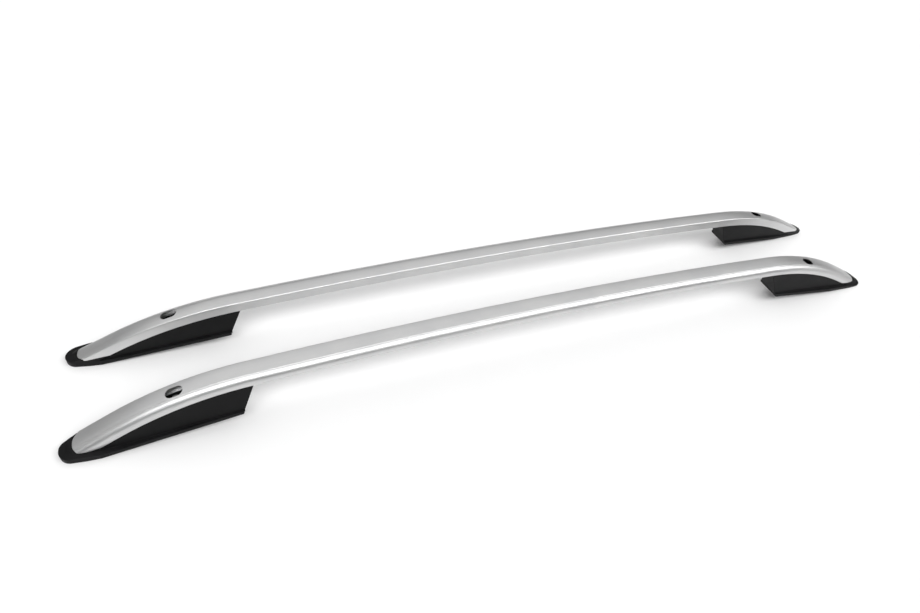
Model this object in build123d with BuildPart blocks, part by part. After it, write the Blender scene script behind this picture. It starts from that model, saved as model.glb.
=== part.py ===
from build123d import *
from math import acos, asin, atan, atan2, cos, hypot, radians, sin, sqrt, tan
import os

# Pair of roof side rails, X along the rails, Z up, standing on their feet on Z = 0.
# The left rail lies at +Y and the right rail is its mirror image at -Y.

# Overall sizes
rail_length = 1840.0
rail_stance = 85.7
lean = 6.0

# Tube section: flat top and inner side, broad rounded outer shoulder
tube_width = 44.8
tube_height = 21.7
tube_wall = 1.8
shoulder_radius = 18.5
corner_radius = 2.5
edge_chamfer = 1.2

# Side profile of the top inner edge: two ramps, two bends and a shallow crown
crown_height = 128.8
crown_radius = 10425.0
crown_shift = 30.0
front_ramp_angle = 25.9
front_ramp_start = 7.65
front_bend_radius = 627.5
rear_ramp_angle = 27.3
rear_ramp_start = 3.65
rear_bend_radius = 612.5

# Rounded nose at each end of the tube
front_nose_inset = 23.0
rear_nose_inset = 27.0
nose_radius = 21.5
nose_side_gap = 1.0

# Oval access holes in the top wall and the bolt position below them
slot_length = 31.0
slot_width = 20.0
front_bolt_inset = 200.0
rear_bolt_inset = 208.0
bolt_offset = 11.3

# Feet: moulded flange with a rounded, tapering toe
front_foot_length = 305.0
rear_foot_length = 297.0
front_toe_radius = 22.0
rear_toe_radius = 21.0
front_taper_length = 65.0
rear_taper_length = 120.0
front_toe_level = 13.5
rear_toe_level = 4.0
toe_flat = 42.0
base_slope = atan(0.103)
flange_height = 5.5
flange_half_width = 28.4
flange_axis_y = 111.5
flange_yaw = 2.05

# Bed of each foot, which follows the tube and carries its shallow cut end
seat_height = 14.5
seat_axis_y = 107.5
seat_cross_slope = 0.12
seat_reach = 110.0

# Feet: hollow upright body between flange and tube
body_start = 64.0
body_ledge = 4.4
body_outer_y = 128.2
body_outer_yaw = 0.57
wall_flare = 9.4
front_end_lean = 23.4
rear_end_lean = 27.5
foot_wall = 3.0
deck_thickness = 3.5
saddle_clearance = 0.05

# Stiffening ribs inside each foot, two ahead of the bolt and one near the inner end
rib_thickness = 2.2
rib_recess = 9.0
rib_bolt_gaps = (84.0, 54.0)
rib_end_gap = 37.0

# Bolt boss and hexagon steel bush with a wider head
boss_width = 26.0
boss_level = 50.0
boss_cover = 1.0
bush_radius = 8.1
bush_bore_radius = 4.25
bush_head_radius = 12.0
bush_head_thickness = 2.5
bush_proud = 0.6
bush_clearance = 0.05
bush_hole_clearance = 0.3

# Hexagon headed screws that hold each foot to its tube
screw_toe_inset = 96.0
screw_end_gap = 25.0
screw_shank_radius = 2.0
screw_length = 11.0
screw_head_radius = 4.0
screw_head_height = 2.4
screw_head_gap = 0.05
screw_clearance = 0.1

# Sealing gasket under each flange
gasket_thickness = 2.5
gasket_rim = 7.0
gasket_window_start = 74.0
gasket_window_end_gap = 12.0

# How far cutting shapes run past the part
cut_margin = 20.0

os.makedirs("parts", exist_ok=True)

half_length = rail_length / 2
lean_angle = radians(lean)
rise = tan(base_slope)
cut_width = rail_stance + tube_width + flange_half_width + cut_margin
toe_x = -half_length + toe_flat
seat_level = gasket_thickness + seat_height
flange_level = gasket_thickness + flange_height

# The profile plane leans towards the middle of the pair
profile_plane = Plane(
    origin=(0, rail_stance, 0),
    x_dir=(1, 0, 0),
    z_dir=(0, -cos(lean_angle), -sin(lean_angle)),
)

# The plan of a foot turns slightly towards the middle of the pair
foot_plan = Plane(
    origin=(-half_length, flange_axis_y, 0),
    x_dir=(cos(radians(flange_yaw)), -sin(radians(flange_yaw)), 0),
    z_dir=(0, 0, 1),
)

# Seat of the tube on the foot, parallel to the rising base and tipped outwards
seat = Plane(
    origin=(toe_x, seat_axis_y, seat_level),
    x_dir=(1, 0, rise),
    z_dir=(-rise, seat_cross_slope, 1),
)


def bend_centre(ramp_angle, ramp_start, bend_radius, shift):
    """Centre of a bend tangent to a ramp and to the crown arc, ramp at -X."""
    slope = radians(ramp_angle)
    along = (cos(slope), sin(slope))
    crown = (shift, crown_height - crown_radius)
    start = (-half_length + bend_radius * sin(slope), ramp_start - bend_radius * cos(slope))
    back = (start[0] - crown[0], start[1] - crown[1])
    reach = back[0] * along[0] + back[1] * along[1]
    gap = back[0] ** 2 + back[1] ** 2 - (crown_radius - bend_radius) ** 2
    travel = -reach + sqrt(reach**2 - gap)
    return (start[0] + travel * along[0], start[1] + travel * along[1])


front_bend = bend_centre(front_ramp_angle, front_ramp_start, front_bend_radius, crown_shift)
rear_bend = bend_centre(rear_ramp_angle, rear_ramp_start, rear_bend_radius, -crown_shift)
ends = {
    "front": (front_bend, front_bend_radius, front_ramp_angle, front_ramp_start, crown_shift),
    "rear": (rear_bend, rear_bend_radius, rear_ramp_angle, rear_ramp_start, -crown_shift),
}
bolt_insets = {"front": front_bolt_inset, "rear": rear_bolt_inset}
nose_insets = {"front": front_nose_inset, "rear": rear_nose_inset}
foot_lengths = {"front": front_foot_length, "rear": rear_foot_length}
toe_radii = {"front": front_toe_radius, "rear": rear_toe_radius}
taper_lengths = {"front": front_taper_length, "rear": rear_taper_length}
toe_levels = {"front": front_toe_level, "rear": rear_toe_level}
end_leans = {"front": radians(front_end_lean), "rear": radians(rear_end_lean)}
screw_insets = {
    "front": (screw_toe_inset, front_foot_length - screw_end_gap),
    "rear": (screw_toe_inset, rear_foot_length - screw_end_gap),
}


def ridge_point(x, centre, bend_radius, ramp_angle, ramp_start, shift):
    """Height along the profile plane and slope of the top inner edge, ramp at -X."""
    slope = radians(ramp_angle)
    ramp_end = centre[0] - bend_radius * sin(slope)
    crown = (shift, crown_height - crown_radius)
    ratio = crown_radius / (crown_radius - bend_radius)
    bend_end = crown[0] + (centre[0] - crown[0]) * ratio
    if x < ramp_end:
        return ramp_start + (x + half_length) * tan(slope), slope
    if x < bend_end:
        angle = asin((centre[0] - x) / bend_radius)
        return centre[1] + bend_radius * cos(angle), angle
    angle = asin((crown[0] - x) / crown_radius)
    return crown[1] + crown_radius * cos(angle), angle


def bend_points(centre, bend_radius, ramp_angle, ramp_start, shift, side):
    """Ramp start, bend start, bend middle and bend end, for one end of the rail."""
    crown = (shift, crown_height - crown_radius)
    first = radians(ramp_angle)
    last = atan((crown[0] - centre[0]) / (centre[1] - crown[1]))
    points = [(-half_length, ramp_start)]
    for angle in (first, (first + last) / 2, last):
        points.append((centre[0] - bend_radius * sin(angle), centre[1] + bend_radius * cos(angle)))
    return [(-side * x, height) for x, height in points]


def middle_place(inset, end):
    """Place on the top face above the middle of the tube, and the slope there."""
    x = -half_length + inset
    height, slope = ridge_point(x, *ends[end])
    return x, rail_stance - height * sin(lean_angle) + tube_width / 2, height * cos(lean_angle), slope


def bolt_place(end):
    """Place on the bolt line at the height of the top face, and the slope there."""
    x = -half_length + bolt_insets[end]
    height, slope = ridge_point(x, *ends[end])
    return x, rail_stance + bolt_offset, height * cos(lean_angle), slope


def tube_plane(x, y, z, slope):
    """Plane that follows the tube at a place, its normal square to the tube."""
    return Plane(origin=(x, y, z), x_dir=(cos(slope), 0, sin(slope)), z_dir=(-sin(slope), 0, cos(slope)))


def toe_tangent(toe_radius, taper_length):
    """Where the round toe meets the tapering side of the flange, from the tip."""
    back = taper_length - toe_radius
    turn = atan2(flange_half_width, back) + acos(toe_radius / hypot(back, flange_half_width))
    return toe_radius * (1 + cos(turn)), toe_radius * sin(turn)


front_path = bend_points(*ends["front"], -1)
rear_path = bend_points(*ends["rear"], 1)

# Path of the top inner edge of the tube
with BuildLine(profile_plane) as path:
    Line(front_path[0], front_path[1])
    ThreePointArc(front_path[1], front_path[2], front_path[3])
    ThreePointArc(front_path[3], (crown_shift, crown_height), rear_path[3])
    ThreePointArc(rear_path[3], rear_path[2], rear_path[1])
    Line(rear_path[1], rear_path[0])

section_plane = Plane(origin=path.line @ 0, x_dir=(0, 1, 0), z_dir=path.line % 0)

# Everything above the underside of the tube, used to shape the saddles of the feet
with BuildPart() as saddle:
    with BuildSketch(section_plane):
        with Locations((tube_width / 2, -tube_height - saddle_clearance)):
            Rectangle(2 * tube_width, tube_height + crown_height, align=(Align.CENTER, Align.MIN))
    sweep(path=path.line)

# Everything above the deck of the feet, which lies under the tube
with BuildPart() as deck_limit:
    with BuildSketch(section_plane):
        with Locations((tube_width / 2, -tube_height - saddle_clearance - deck_thickness)):
            Rectangle(2 * tube_width, tube_height + crown_height, align=(Align.CENTER, Align.MIN))
    sweep(path=path.line)

# Outer form of the bent tube
with BuildPart() as form:
    with BuildSketch(section_plane) as outline:
        with Locations((tube_width / 2, -tube_height / 2)):
            Rectangle(tube_width, tube_height)
        chamfer(outline.vertices().group_by(Axis.Y)[0], length=edge_chamfer)
        fillet(outline.vertices().group_by(Axis.Y)[-1].sort_by(Axis.X)[0], radius=corner_radius)
        fillet(outline.vertices().group_by(Axis.Y)[-1].sort_by(Axis.X)[-1], radius=shoulder_radius)
    sweep(path=path.line)

# Cuts at one end of the tube: seat, rounded nose, access hole, bush hole and screw holes
end_cuts = {}
for end in ("front", "rear"):
    nose_inset = nose_insets[end]
    nose_x, nose_y, nose_z, nose_slope = middle_place(nose_inset, end)
    bolt_x, bolt_y, bolt_z, bolt_slope = bolt_place(end)
    with BuildPart() as cuts:
        with BuildSketch(seat):
            Rectangle(2 * seat_reach, cut_width)
        extrude(amount=-seat_reach)
        with BuildSketch(Plane.XY):
            with Locations((nose_x + nose_radius, nose_y)):
                Rectangle(cut_width, cut_width, align=(Align.MAX, Align.CENTER))
            with Locations((nose_x, nose_y)):
                RectangleRounded(
                    cut_width,
                    tube_width + 2 * nose_side_gap,
                    nose_radius,
                    align=(Align.MIN, Align.CENTER),
                    mode=Mode.SUBTRACT,
                )
        extrude(amount=crown_height)
        with BuildSketch(tube_plane(bolt_x, bolt_y, bolt_z, bolt_slope)):
            SlotOverall(slot_length, slot_width)
        extrude(amount=tube_height / 2, both=True)
        with BuildSketch(Plane.XY.offset(bolt_z - tube_height)):
            with Locations((bolt_x, bolt_y)):
                RegularPolygon(bush_radius + bush_hole_clearance, 6)
        extrude(amount=tube_height / 3, both=True)
        for inset in screw_insets[end]:
            with BuildSketch(tube_plane(*middle_place(inset, end)).offset(-tube_height)):
                Circle(screw_shank_radius + screw_clearance)
            extrude(amount=tube_height / 3, both=True)
    end_cuts[end] = cuts.part

# Bent aluminium tube
with BuildPart() as tube:
    add(form.part)
    with BuildSketch(section_plane) as hollow:
        with Locations((tube_width / 2, -tube_height / 2)):
            Rectangle(tube_width - 2 * tube_wall, tube_height - 2 * tube_wall)
        shoulder_corner = hollow.vertices().group_by(Axis.X)[-1].sort_by(Axis.Y)[-1]
        chamfer(shoulder_corner, length=(shoulder_radius - tube_wall) * (2 - sqrt(2)))
    sweep(path=path.line, mode=Mode.SUBTRACT)
    add(end_cuts["front"], mode=Mode.SUBTRACT)
    add(end_cuts["rear"].mirror(Plane.YZ), mode=Mode.SUBTRACT)

pieces = {"rail_tube": tube.part}

for end in ("front", "rear"):
    # Every foot is set out at the front end, and the rear one is mirrored at the end
    foot_length = foot_lengths[end]
    taper_length = taper_lengths[end]
    nose_inset = nose_insets[end]
    end_lean = end_leans[end]
    toe_level = toe_levels[end]
    reach = foot_length + 2 * crown_height * tan(end_lean)
    far_x = -half_length + reach
    base_end = (foot_length - toe_flat) * rise
    drop = (reach - toe_flat) * rise
    toe_in, toe_out = toe_tangent(toe_radii[end], taper_length)
    upper = saddle.part if end == "front" else saddle.part.mirror(Plane.YZ)
    limit = deck_limit.part if end == "front" else deck_limit.part.mirror(Plane.YZ)
    tube_form = form.part if end == "front" else form.part.mirror(Plane.YZ)
    bolt_x, bolt_y, bolt_z, bolt_slope = bolt_place(end)
    nose_x, nose_y, nose_z, nose_slope = middle_place(nose_inset, end)
    end_plane = Plane(
        origin=(-half_length + foot_length, 0, base_end),
        x_dir=(0, 1, 0),
        z_dir=(cos(end_lean), 0, -sin(end_lean)),
    )

    # Outline of flange and gasket seen from above
    with BuildSketch(foot_plan) as footprint:
        with BuildLine():
            Polyline(
                (toe_in, toe_out),
                (taper_length, flange_half_width),
                (reach, flange_half_width),
                (reach, -flange_half_width),
                (taper_length, -flange_half_width),
                (toe_in, -toe_out),
            )
            ThreePointArc((toe_in, -toe_out), (0, 0), (toe_in, toe_out))
        make_face()

    # Side view of the space above the gasket
    with BuildSketch(Plane.XZ) as above_gasket:
        Polygon(
            (-half_length - cut_margin, gasket_thickness),
            (toe_x, gasket_thickness),
            (far_x, gasket_thickness + drop),
            (far_x, gasket_thickness + drop + crown_height),
            (-half_length - cut_margin, gasket_thickness + drop + crown_height),
            align=None,
        )

    # Flange with a rounded toe, level at the toe and then parallel to the base
    with BuildPart() as flange:
        with BuildSketch(Plane.XZ):
            Polygon(
                (-half_length - cut_margin, gasket_thickness),
                (toe_x, gasket_thickness),
                (far_x, gasket_thickness + drop),
                (far_x, flange_level + drop),
                (toe_x + (toe_level - flange_level) / rise, toe_level),
                (-half_length - cut_margin, toe_level),
                align=None,
            )
        extrude(amount=-cut_width)
        extrude(footprint.sketch, amount=crown_height, mode=Mode.INTERSECT)
        split(bisect_by=seat, keep=Keep.BOTTOM)

    # Bed of the foot, which carries the form of the tube on below its seat and past its nose
    with BuildPart() as tube_zone:
        with BuildSketch(Plane.XY):
            with Locations((nose_x - saddle_clearance, nose_y)):
                RectangleRounded(
                    cut_width,
                    tube_width + 2 * (nose_side_gap + saddle_clearance),
                    nose_radius + saddle_clearance,
                    align=(Align.MIN, Align.CENTER),
                )
            with Locations((nose_x + nose_radius, nose_y)):
                Rectangle(cut_width, cut_width, align=(Align.MIN, Align.CENTER))
        extrude(amount=crown_height)
        split(bisect_by=seat, keep=Keep.TOP)

    with BuildPart() as bed:
        extrude(above_gasket.sketch, amount=-cut_width)
        split(bisect_by=Plane.YZ.offset(-half_length + seat_reach), keep=Keep.BOTTOM)
        extrude(footprint.sketch, amount=crown_height, mode=Mode.INTERSECT)
        add(tube_form, mode=Mode.INTERSECT)
        add(tube_zone.part, mode=Mode.SUBTRACT)

    # Body between flange and tube, a little narrower than both
    start_x = -half_length + body_start
    inner_y = flange_axis_y - flange_half_width + body_ledge
    lift = crown_height * tan(radians(wall_flare))
    lower = [
        (start_x, inner_y - body_start * tan(radians(flange_yaw))),
        (far_x, inner_y - reach * tan(radians(flange_yaw))),
        (far_x, body_outer_y + reach * tan(radians(body_outer_yaw))),
        (start_x, body_outer_y + body_start * tan(radians(body_outer_yaw))),
    ]
    with BuildPart() as body:
        with BuildSketch(Plane.XY):
            Polygon(*lower, align=None)
        with BuildSketch(Plane.XY.offset(crown_height)):
            Polygon(lower[0], lower[1], *[(px, py - lift) for px, py in lower[2:]], align=None)
        loft(ruled=True)

    # Open underside for the mounting bracket
    with BuildPart() as cavity:
        with BuildSketch(Plane.XY):
            Polygon(*lower, align=None)
            offset(amount=-foot_wall, kind=Kind.INTERSECTION)
        with BuildSketch(Plane.XY.offset(crown_height)):
            Polygon(lower[0], lower[1], *[(px, py - lift) for px, py in lower[2:]], align=None)
            offset(amount=-foot_wall, kind=Kind.INTERSECTION)
        loft(ruled=True)
        add(limit, mode=Mode.SUBTRACT)
        split(bisect_by=end_plane.offset(-foot_wall), keep=Keep.BOTTOM)

    # Cross ribs and the bolt boss fill parts of that space
    rib_insets = [bolt_insets[end] - gap for gap in rib_bolt_gaps]
    rib_insets.append(foot_length - rib_end_gap)
    with BuildPart() as ribs:
        for inset in rib_insets:
            rib_base = gasket_thickness + (inset - toe_flat) * rise + rib_recess
            with BuildSketch(Plane.XY.offset(rib_base)):
                with Locations((-half_length + inset, bolt_y)):
                    Rectangle(rib_thickness, cut_width)
            extrude(amount=crown_height)
        with BuildSketch(Plane.XY.offset(boss_level)):
            with Locations((bolt_x, bolt_y)):
                Rectangle(rib_thickness, cut_width)
        extrude(amount=crown_height)
        add(cavity.part, mode=Mode.INTERSECT)

    with BuildPart() as boss:
        with BuildSketch(Plane.XY.offset(boss_level)):
            with Locations((bolt_x, bolt_y)):
                Rectangle(boss_width, boss_width)
        extrude(amount=tube_height + crown_height - boss_level)
        add(upper, mode=Mode.SUBTRACT)

    # Moulded foot
    with BuildPart() as foot:
        add(body.part)
        add(upper, mode=Mode.SUBTRACT)
        extrude(above_gasket.sketch, amount=-cut_width, mode=Mode.INTERSECT)
        add(flange.part)
        add(bed.part)
        split(bisect_by=end_plane, keep=Keep.BOTTOM)
        add(cavity.part, mode=Mode.SUBTRACT)
        add(ribs.part)
        add(boss.part)
        with BuildSketch(Plane.XY.offset(boss_level - boss_cover)):
            with Locations((bolt_x, bolt_y)):
                RegularPolygon(bush_radius + bush_clearance, 6)
        extrude(amount=crown_height - boss_level, mode=Mode.SUBTRACT)
        for inset in screw_insets[end]:
            under = tube_plane(*middle_place(inset, end)).offset(-tube_height)
            with BuildSketch(under):
                Circle(screw_shank_radius + screw_clearance)
            extrude(amount=2 * deck_thickness, both=True, mode=Mode.SUBTRACT)
    pieces[f"{end}_foot"] = foot.part

    # Gasket, flush with the flange and open in the middle
    with BuildPart() as gasket:
        with BuildSketch(Plane.XZ):
            Polygon(
                (-half_length - cut_margin, 0),
                (toe_x, 0),
                (far_x, drop),
                (far_x, drop + gasket_thickness),
                (toe_x, gasket_thickness),
                (-half_length - cut_margin, gasket_thickness),
                align=None,
            )
        extrude(amount=-cut_width)
        extrude(footprint.sketch, amount=crown_height, mode=Mode.INTERSECT)
        split(bisect_by=end_plane, keep=Keep.BOTTOM)
        window_length = foot_length - gasket_window_start - gasket_window_end_gap
        window_width = 2 * (flange_half_width - gasket_rim)
        with BuildSketch(foot_plan):
            with Locations((gasket_window_start + window_length / 2, 0)):
                Rectangle(window_length, window_width)
        extrude(amount=crown_height, both=True, mode=Mode.SUBTRACT)
    pieces[f"{end}_gasket"] = gasket.part

    # Steel bush that carries the bolt through foot and tube wall
    floor_z = bolt_z - (tube_height - tube_wall) / cos(bolt_slope)
    bush_top = floor_z + (bush_radius + bush_hole_clearance) * tan(bolt_slope) + bush_proud
    with BuildPart() as bush:
        with BuildSketch(Plane.XY.offset(boss_level)):
            with Locations((bolt_x, bolt_y)):
                RegularPolygon(bush_head_radius, 6)
        extrude(amount=-bush_head_thickness)
        with BuildSketch(Plane.XY.offset(boss_level)):
            with Locations((bolt_x, bolt_y)):
                RegularPolygon(bush_radius, 6)
        extrude(amount=bush_top - boss_level)
        with BuildSketch(Plane.XY.offset(boss_level)):
            with Locations((bolt_x, bolt_y)):
                Circle(bush_bore_radius)
        extrude(amount=crown_height, both=True, mode=Mode.SUBTRACT)
    pieces[f"{end}_bush"] = bush.part

    # Screws from below, their heads under the deck of the foot
    head_depth = tube_height + saddle_clearance + deck_thickness + screw_head_gap
    for number, inset in enumerate(screw_insets[end], start=1):
        under = tube_plane(*middle_place(inset, end)).offset(-head_depth)
        with BuildPart() as screw:
            with BuildSketch(under):
                RegularPolygon(screw_head_radius, 6)
            extrude(amount=-screw_head_height)
            with BuildSketch(under):
                Circle(screw_shank_radius)
            extrude(amount=screw_length)
        pieces[f"{end}_screw_{number}"] = screw.part

# Place the rear pieces by mirroring, then write both rails
for name, piece in pieces.items():
    if name.startswith("rear"):
        piece = piece.mirror(Plane.YZ)
    for side in ("left", "right"):
        placed = piece if side == "left" else piece.mirror(Plane.XZ)
        placed.label = f"{side}_{name}"
        export_step(placed, f"parts/{side}_{name}.step")
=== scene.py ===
import bmesh
import bpy
from math import cos, pi, radians, sin, tan
from mathutils import Matrix, Vector


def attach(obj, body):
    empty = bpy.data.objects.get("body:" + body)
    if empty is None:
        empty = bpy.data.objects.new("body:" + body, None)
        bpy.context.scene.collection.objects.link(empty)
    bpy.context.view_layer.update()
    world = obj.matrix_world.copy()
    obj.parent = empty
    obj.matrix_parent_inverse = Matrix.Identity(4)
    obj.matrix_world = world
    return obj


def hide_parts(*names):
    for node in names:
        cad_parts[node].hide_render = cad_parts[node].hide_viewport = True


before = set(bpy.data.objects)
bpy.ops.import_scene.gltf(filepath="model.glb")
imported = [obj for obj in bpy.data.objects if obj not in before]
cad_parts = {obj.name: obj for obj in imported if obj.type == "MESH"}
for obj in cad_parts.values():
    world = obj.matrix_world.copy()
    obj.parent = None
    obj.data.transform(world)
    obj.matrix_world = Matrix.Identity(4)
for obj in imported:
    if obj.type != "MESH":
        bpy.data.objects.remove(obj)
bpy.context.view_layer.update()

# Rail tubes
# Bent, hollow aluminium extrusions, satin anodised, with fine drawn lines, screwed on from below.
# A copy of each CAD tube has its flat top crowned by under a millimetre, and replaces it.
sides = ("left", "right")
ends = ("front", "rear")
half_length = 0.92
arch_height = 0.1288
arch_shift = 0.03
arch_radius = 10.425
ramps = {"front": (25.9, 0.00765), "rear": (27.3, 0.00365)}
bend_blend = 0.075
lean = radians(6.0)
inner_edge = 0.0857
hollow_middle = 0.0195
hollow_half_width = 0.0165
hollow_depth = 0.016
hollow_half_depth = 0.010
hole_place = 0.71
hole_reach = 0.09
line_stretch = 0.006
fine_line_scale = 1500.0
broad_line_scale = 260.0
cloud_scale = 14.0
# Near-black colour painted on the hollow inside of the tube as shade, not the colour of the metal there
hollow_painted_shade = (0.02, 0.02, 0.02, 1.0)
flat_width = 0.0265
shoulder_reach = 0.0185
crown_section = 0.12
strips = 10
skin_tilt = 0.06
merge_reach = 1e-6
sharp_angle = radians(28.0)


def new_material(name):
    material = bpy.data.materials.new(name)
    material.use_nodes = True
    nodes = material.node_tree.nodes
    return material, nodes, material.node_tree.links, nodes["Principled BSDF"]


def noise_node(nodes, scale, detail, roughness=0.5):
    noise = nodes.new("ShaderNodeTexNoise")
    noise.inputs["Scale"].default_value = scale
    noise.inputs["Detail"].default_value = detail
    noise.inputs["Roughness"].default_value = roughness
    return noise


def spread(nodes, low, high, to_low, to_high):
    scaled = nodes.new("ShaderNodeMapRange")
    scaled.inputs["From Min"].default_value = low
    scaled.inputs["From Max"].default_value = high
    scaled.inputs["To Min"].default_value = to_low
    scaled.inputs["To Max"].default_value = to_high
    return scaled


def two_tone(nodes, dark, pale):
    ramp = nodes.new("ShaderNodeValToRGB")
    ramp.color_ramp.elements[0].position = 0.35
    ramp.color_ramp.elements[0].color = (*dark, 1.0)
    ramp.color_ramp.elements[1].position = 0.65
    ramp.color_ramp.elements[1].color = (*pale, 1.0)
    return ramp


def maths(nodes, links, operation, *inputs):
    node = nodes.new("ShaderNodeMath")
    node.operation = operation
    for socket, value in zip(node.inputs, inputs):
        if isinstance(value, bpy.types.NodeSocket):
            links.new(value, socket)
        else:
            socket.default_value = value
    return node.outputs["Value"]


def add_relief(nodes, links, shader, height, strength, distance):
    bump = nodes.new("ShaderNodeBump")
    bump.inputs["Strength"].default_value = strength
    bump.inputs["Distance"].default_value = distance
    links.new(height, bump.inputs["Height"])
    links.new(bump.outputs["Normal"], shader.inputs["Normal"])


anodised, nodes, links, shader = new_material("satin anodised aluminium")
shader.inputs["Metallic"].default_value = 1.0
place = nodes.new("ShaderNodeTexCoord")
axes = nodes.new("ShaderNodeSeparateXYZ")
links.new(place.outputs["Object"], axes.inputs["Vector"])
# How far a place lies below the top of the bent tube, from its two ramps and its long arch
x, y, z = (axes.outputs[name] for name in "XYZ")
from_middle = maths(nodes, links, "SUBTRACT", x, arch_shift)
square = maths(nodes, links, "MULTIPLY", from_middle, from_middle)
top = maths(nodes, links, "MULTIPLY_ADD", square, -0.5 / arch_radius, arch_height)
for end, run in (("front", 1), ("rear", -1)):
    angle, start = ramps[end]
    slope = tan(radians(angle))
    ramp = maths(nodes, links, "MULTIPLY_ADD", x, run * slope, start + half_length * slope)
    top = maths(nodes, links, "SMOOTH_MIN", top, ramp, bend_blend)
below = maths(nodes, links, "MULTIPLY_ADD", top, cos(lean), maths(nodes, links, "MULTIPLY", z, -1.0))
# Lines drawn out along the tube
along = maths(nodes, links, "MULTIPLY", x, line_stretch)
drawn = nodes.new("ShaderNodeCombineXYZ")
links.new(along, drawn.inputs["X"])
links.new(y, drawn.inputs["Y"])
links.new(below, drawn.inputs["Z"])
fine_lines = noise_node(nodes, fine_line_scale, 3.0, 0.6)
broad_lines = noise_node(nodes, broad_line_scale, 2.0)
for texture in (fine_lines, broad_lines):
    links.new(drawn.outputs["Vector"], texture.inputs["Vector"])
lines = maths(nodes, links, "ADD", fine_lines.outputs["Fac"], broad_lines.outputs["Fac"])
# Painted shade: the hollow inside of the tube, where the access holes show it, is painted near black to
# stand in for the shade that falls in it
across = maths(nodes, links, "MULTIPLY_ADD", z, tan(lean), maths(nodes, links, "ABSOLUTE", y))
between_sides = maths(nodes, links, "COMPARE", across, inner_edge + hollow_middle, hollow_half_width)
under_top = maths(nodes, links, "COMPARE", below, hollow_depth, hollow_half_depth)
near_hole = maths(nodes, links, "COMPARE", maths(nodes, links, "ABSOLUTE", x), hole_place, hole_reach)
painted_shade_mask = maths(nodes, links, "MULTIPLY", between_sides, under_top)
painted_shade_mask = maths(nodes, links, "MULTIPLY", painted_shade_mask, near_hole)
clouds = noise_node(nodes, cloud_scale, 4.0)
links.new(place.outputs["Object"], clouds.inputs["Vector"])
silver = two_tone(nodes, (0.63, 0.632, 0.635), (0.68, 0.68, 0.677))
links.new(clouds.outputs["Fac"], silver.inputs["Fac"])
colour = nodes.new("ShaderNodeMix")
colour.data_type = "RGBA"
# The painted shade goes in where the hollow-inside mask is set
colour.inputs["B"].default_value = hollow_painted_shade
links.new(painted_shade_mask, colour.inputs["Factor"])
links.new(silver.outputs["Color"], colour.inputs["A"])
links.new(colour.outputs["Result"], shader.inputs["Base Color"])
sheen = spread(nodes, 0.7, 1.3, 0.38, 0.48)
links.new(lines, sheen.inputs["Value"])
links.new(sheen.outputs["Result"], shader.inputs["Roughness"])
add_relief(nodes, links, shader, lines, 0.12, 0.0001)


def merged_copy(name, material):
    """A copy of a CAD node's mesh, and a bmesh of it with its loose triangles joined."""
    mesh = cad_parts[name].data.copy()
    mesh.materials.clear()
    mesh.materials.append(material)
    shape = bmesh.new()
    shape.from_mesh(mesh)
    bmesh.ops.remove_doubles(shape, verts=shape.verts, dist=merge_reach)
    return mesh, shape


def stand_in(piece_name, mesh, shape, name):
    """Puts a finished shape in the scene as the piece that replaces its CAD node."""
    shape.to_mesh(mesh)
    shape.free()
    piece = bpy.data.objects.new(piece_name, mesh)
    bpy.context.scene.collection.objects.link(piece)
    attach(piece, "root")
    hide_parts(name)
    return piece


def crown_drop(across):
    """How far the crowned skin lies below the flat top, at a place across the tube."""
    middle = 0.5 * flat_width
    if across < flat_width:
        return 0.5 * (max(across, 0.0) - middle) ** 2 / crown_section
    edge_drop = 0.5 * middle**2 / crown_section
    edge_slope = middle / crown_section
    part = min((across - flat_width) / shoulder_reach, 1.0)
    falling = edge_slope * shoulder_reach * (part**3 - 2 * part**2 + part)
    return edge_drop * (2 * part**3 - 3 * part**2 + 1) + falling


for side, outward in (("left", 1.0), ("right", -1.0)):
    mesh, shape = merged_copy(f"{side}_rail_tube", anodised)
    over = Vector((0.0, outward * cos(lean), sin(lean)))
    up = Vector((0.0, -outward * sin(lean), cos(lean)))
    first_edge = inner_edge * cos(lean)
    # Lengthwise cuts give the flat top rows of vertices
    for strip in range(1, strips):
        cut = over * (first_edge + strip * flat_width / strips)
        parts = shape.verts[:] + shape.edges[:] + shape.faces[:]
        bmesh.ops.bisect_plane(shape, geom=parts, plane_co=cut, plane_no=over, dist=merge_reach)
    shape.normal_update()
    # The outer skin spreads from the highest face until it turns down the sides
    highest = max(shape.faces, key=lambda face: face.calc_center_median().dot(up) + face.normal.dot(up))
    skin = {highest}
    rim = [highest]
    while rim:
        face = rim.pop()
        for edge in face.edges:
            for other in edge.link_faces:
                if other not in skin and other.normal.dot(up) > skin_tilt:
                    skin.add(other)
                    rim.append(other)
    for vert in {vert for face in skin for vert in face.verts}:
        vert.co -= up * crown_drop(vert.co.dot(over) - first_edge)
    for edge in shape.edges:
        edge.smooth = len(edge.link_faces) == 2 and edge.calc_face_angle() < sharp_angle
    for face in shape.faces:
        face.smooth = True
    piece = stand_in(f"crowned_{side}_tube", mesh, shape, f"{side}_rail_tube")
    shading = piece.modifiers.new("even shading", "WEIGHTED_NORMAL")
    shading.keep_sharp = True

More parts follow.
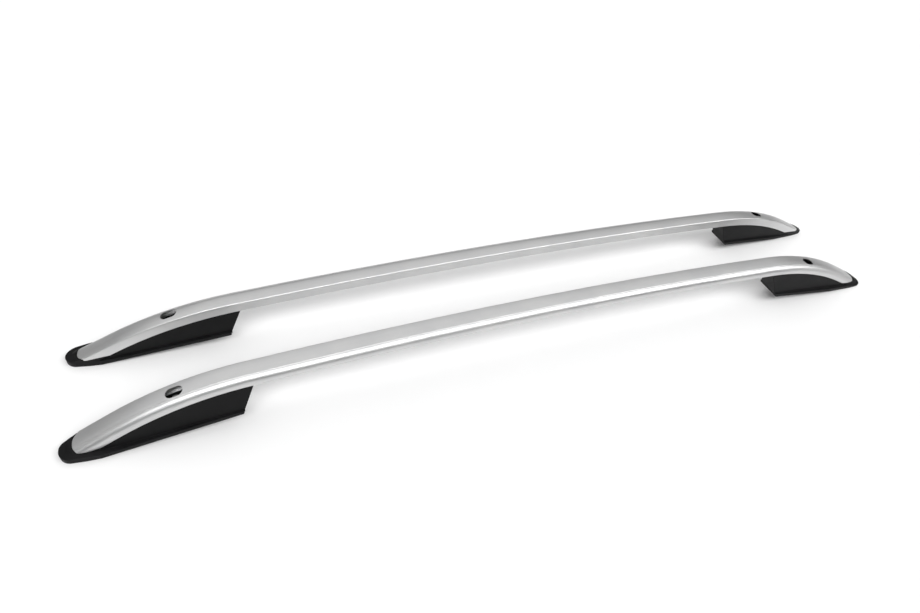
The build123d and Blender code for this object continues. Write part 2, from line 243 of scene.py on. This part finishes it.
# Feet
# Glass-filled nylon mouldings with a fine spark-eroded grain, black all through. A copy of each
# CAD foot has its sharp edges eased, as on any moulding, and replaces it.
foot_easing = 0.0010
flat_angle = radians(1.0)
shortest_eased = 0.0012
patch_scale = 24.0
grain_tree = bpy.data.node_groups.new("moulded grain", "ShaderNodeTree")
grain_tree.interface.new_socket("Scale", in_out="INPUT", socket_type="NodeSocketFloat")
grain_tree.interface.new_socket("Height", in_out="OUTPUT", socket_type="NodeSocketFloat")
grain_tree.interface.new_socket("Patches", in_out="OUTPUT", socket_type="NodeSocketFloat")
grain_in = grain_tree.nodes.new("NodeGroupInput")
grain_out = grain_tree.nodes.new("NodeGroupOutput")
grain_place = grain_tree.nodes.new("ShaderNodeTexCoord")
pits = grain_tree.nodes.new("ShaderNodeTexVoronoi")
pits.feature = "SMOOTH_F1"
grain_noise = noise_node(grain_tree.nodes, 1.0, 4.0, 0.6)
patch_noise = noise_node(grain_tree.nodes, patch_scale, 4.0)
pit_depth = pits.outputs["Distance"]
grain_height = maths(grain_tree.nodes, grain_tree.links, "ADD", pit_depth, grain_noise.outputs["Fac"])
for texture in (pits, grain_noise, patch_noise):
    grain_tree.links.new(grain_place.outputs["Object"], texture.inputs["Vector"])
for texture in (pits, grain_noise):
    grain_tree.links.new(grain_in.outputs["Scale"], texture.inputs["Scale"])
grain_tree.links.new(grain_height, grain_out.inputs["Height"])
grain_tree.links.new(patch_noise.outputs["Fac"], grain_out.inputs["Patches"])


def grained(name, dark, pale, smooth, rough, grain_scale, relief):
    material, nodes, links, shader = new_material(name)
    grain = nodes.new("ShaderNodeGroup")
    grain.node_tree = grain_tree
    grain.inputs["Scale"].default_value = grain_scale
    tone = two_tone(nodes, dark, pale)
    links.new(grain.outputs["Patches"], tone.inputs["Fac"])
    links.new(tone.outputs["Color"], shader.inputs["Base Color"])
    gloss = spread(nodes, 0.3, 0.7, smooth, rough)
    links.new(grain.outputs["Patches"], gloss.inputs["Value"])
    links.new(gloss.outputs["Result"], shader.inputs["Roughness"])
    add_relief(nodes, links, shader, grain.outputs["Height"], relief, 0.0002)
    return material, shader


def ease_edges(name, easing, material):
    """A copy of a moulding with its long sharp edges rounded over, which replaces it."""
    mesh, shape = merged_copy(name, material)
    bmesh.ops.dissolve_limit(shape, angle_limit=flat_angle, verts=shape.verts, edges=shape.edges)
    edges = [edge for edge in shape.edges if edge.calc_length() > shortest_eased]
    sharp = [edge for edge in edges if edge.calc_face_angle() > sharp_angle]
    bmesh.ops.bevel(
        shape,
        geom=sharp,
        offset=easing,
        segments=2,
        profile=0.5,
        affect="EDGES",
        clamp_overlap=False,
        material=-1,
    )
    bmesh.ops.dissolve_degenerate(shape, dist=merge_reach, edges=shape.edges)
    stand_in(f"eased_{name}", mesh, shape, name)


black_nylon, shader = grained(
    "black moulded nylon", (0.004, 0.004, 0.0043), (0.007, 0.007, 0.0075), 0.44, 0.56, 1600.0, 0.25
)
shader.inputs["Specular IOR Level"].default_value = 0.13
for side in sides:
    for end in ends:
        ease_edges(f"{side}_{end}_foot", foot_easing, black_nylon)

# Gaskets
# Soft moulded rubber pads, matt, with a coarser skin than the feet. They lie under the flanges,
# pressed on by the roof bolts.
gasket_easing = 0.0005
gasket_rubber, shader = grained(
    "gasket rubber", (0.010, 0.010, 0.010), (0.018, 0.018, 0.019), 0.68, 0.82, 900.0, 0.35
)
shader.inputs["Specular IOR Level"].default_value = 0.25
for side in sides:
    for end in ends:
        ease_edges(f"{side}_{end}_gasket", gasket_easing, gasket_rubber)

# Bushes and screws
# Turned and headed steel under a thin zinc plating that dries in faint cloudy patches. A bush
# carries each roof bolt, and two screws go up through each foot into the tube.
plating_scale = 320.0
turned_scale = 900.0


def dress(names, material):
    for name in names:
        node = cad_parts[name]
        node.data.materials.clear()
        node.data.materials.append(material)


zinc_steel, nodes, links, shader = new_material("zinc plated steel")
shader.inputs["Metallic"].default_value = 1.0
place = nodes.new("ShaderNodeTexCoord")
plating = noise_node(nodes, plating_scale, 5.0, 0.6)
links.new(place.outputs["Object"], plating.inputs["Vector"])
tone = two_tone(nodes, (0.54, 0.54, 0.52), (0.68, 0.68, 0.67))
links.new(plating.outputs["Fac"], tone.inputs["Fac"])
links.new(tone.outputs["Color"], shader.inputs["Base Color"])
turned = nodes.new("ShaderNodeTexWave")
turned.bands_direction = "Z"
turned.inputs["Scale"].default_value = turned_scale
turned.inputs["Distortion"].default_value = 2.0
links.new(place.outputs["Object"], turned.inputs["Vector"])
gloss = spread(nodes, 0.3, 0.7, 0.26, 0.42)
links.new(plating.outputs["Fac"], gloss.inputs["Value"])
links.new(gloss.outputs["Result"], shader.inputs["Roughness"])
add_relief(nodes, links, shader, turned.outputs["Fac"], 0.1, 0.0001)
fasteners = ("bush", "screw_1", "screw_2")
dress([f"{side}_{end}_{part}" for side in sides for end in ends for part in fasteners], zinc_steel)

# Floor
# A plain white studio floor, wide enough to reach the horizon from low angles. It shines a little
# by itself, to the camera and to reflections alike.
floor_size = 60.0
floor_glow = 0.06
shape = bmesh.new()
bmesh.ops.create_grid(shape, x_segments=1, y_segments=1, size=0.5 * floor_size)
floor_mesh = bpy.data.meshes.new("floor")
shape.to_mesh(floor_mesh)
shape.free()
floor = bpy.data.objects.new("floor", floor_mesh)
bpy.context.scene.collection.objects.link(floor)
floor_paint, nodes, links, shader = new_material("white floor")
shader.inputs["Base Color"].default_value = (0.85, 0.85, 0.85, 1.0)
shader.inputs["Roughness"].default_value = 0.9
shader.inputs["Specular IOR Level"].default_value = 0.0
shader.inputs["Emission Color"].default_value = (1.0, 1.0, 1.0, 1.0)
path = nodes.new("ShaderNodeLightPath")
seen = path.outputs["Is Camera Ray"]
for ray in ("Is Glossy Ray", "Is Transmission Ray"):
    seen = maths(nodes, links, "MAXIMUM", seen, path.outputs[ray])
links.new(maths(nodes, links, "MULTIPLY", seen, floor_glow), shader.inputs["Emission Strength"])
floor_mesh.materials.append(floor_paint)

# Studio light
# A pale tent over the rails that is dim towards the horizon and in front. A long soft box hangs
# above the camera, and gives the shoulders their highlight and the rails their shadow.
tones = ((0.0, 0.05), (0.3, 0.08), (0.42, 0.34), (0.52, 0.82), (0.64, 0.96), (0.8, 0.98), (1.0, 0.9))
front_level = 0.12
box_tilt = radians(36.0)
box_middle = 0.12
box_level = 5.4
world = bpy.data.worlds.new("studio")
bpy.context.scene.world = world
world.use_nodes = True
nodes = world.node_tree.nodes
links = world.node_tree.links
heading = nodes.new("ShaderNodeTexCoord")
axes = nodes.new("ShaderNodeSeparateXYZ")
links.new(heading.outputs["Generated"], axes.inputs["Vector"])
x, y, z = (axes.outputs[name] for name in "XYZ")


def fade(value, low, high, to_low, to_high):
    eased = spread(nodes, low, high, to_low, to_high)
    eased.interpolation_type = "SMOOTHSTEP"
    links.new(value, eased.inputs["Value"])
    return eased.outputs["Result"]


tent = nodes.new("ShaderNodeValToRGB")
tent.color_ramp.elements[0].position = tones[0][0]
tent.color_ramp.elements[1].position = tones[-1][0]
for position, level in tones[1:-1]:
    tent.color_ramp.elements.new(position)
for element, (position, level) in zip(tent.color_ramp.elements, tones):
    element.color = (level, level, level, 1.0)
links.new(z, tent.inputs["Fac"])
front_to_back = fade(y, -0.3, 0.25, front_level, 1.0)
tent_level = maths(nodes, links, "MULTIPLY", tent.outputs["Color"], front_to_back)
off_box = maths(nodes, links, "MULTIPLY", z, sin(box_tilt))
off_box = maths(nodes, links, "MULTIPLY_ADD", y, cos(box_tilt), off_box)
across_box = fade(maths(nodes, links, "ABSOLUTE", off_box), 0.06, 0.30, box_level, 0.0)
along_box = maths(nodes, links, "ABSOLUTE", maths(nodes, links, "SUBTRACT", x, box_middle))
box = maths(nodes, links, "MULTIPLY", across_box, fade(along_box, 0.60, 0.82, 1.0, 0.0))
box = maths(nodes, links, "MULTIPLY", box, fade(z, 0.0, 0.2, 0.0, 1.0))
links.new(maths(nodes, links, "ADD", tent_level, box), nodes["Background"].inputs["Color"])

# Camera
# Looks down at the pair from outside the right rail, near its front end, as the photograph does,
# and turned a little about its own line of sight.
view_place = Vector((-0.5747, -0.87775, 1.01183))
view_yaw = radians(25.7511)
view_pitch = radians(44.2534)
view_roll = radians(7.8412)
camera_data = bpy.data.cameras.new("camera")
camera_data.sensor_width = 36.0
camera_data.lens = 24.954
camera = bpy.data.objects.new("camera", camera_data)
turn = Matrix.Rotation(-view_yaw, 4, "Z")
turn = turn @ Matrix.Rotation(pi / 2 - view_pitch, 4, "X")
turn = turn @ Matrix.Rotation(view_roll, 4, "Z")
camera.matrix_world = Matrix.Translation(view_place) @ turn
bpy.context.scene.collection.objects.link(camera)
bpy.context.scene.camera = camera

bpy.context.scene.view_settings.view_transform = "Standard"
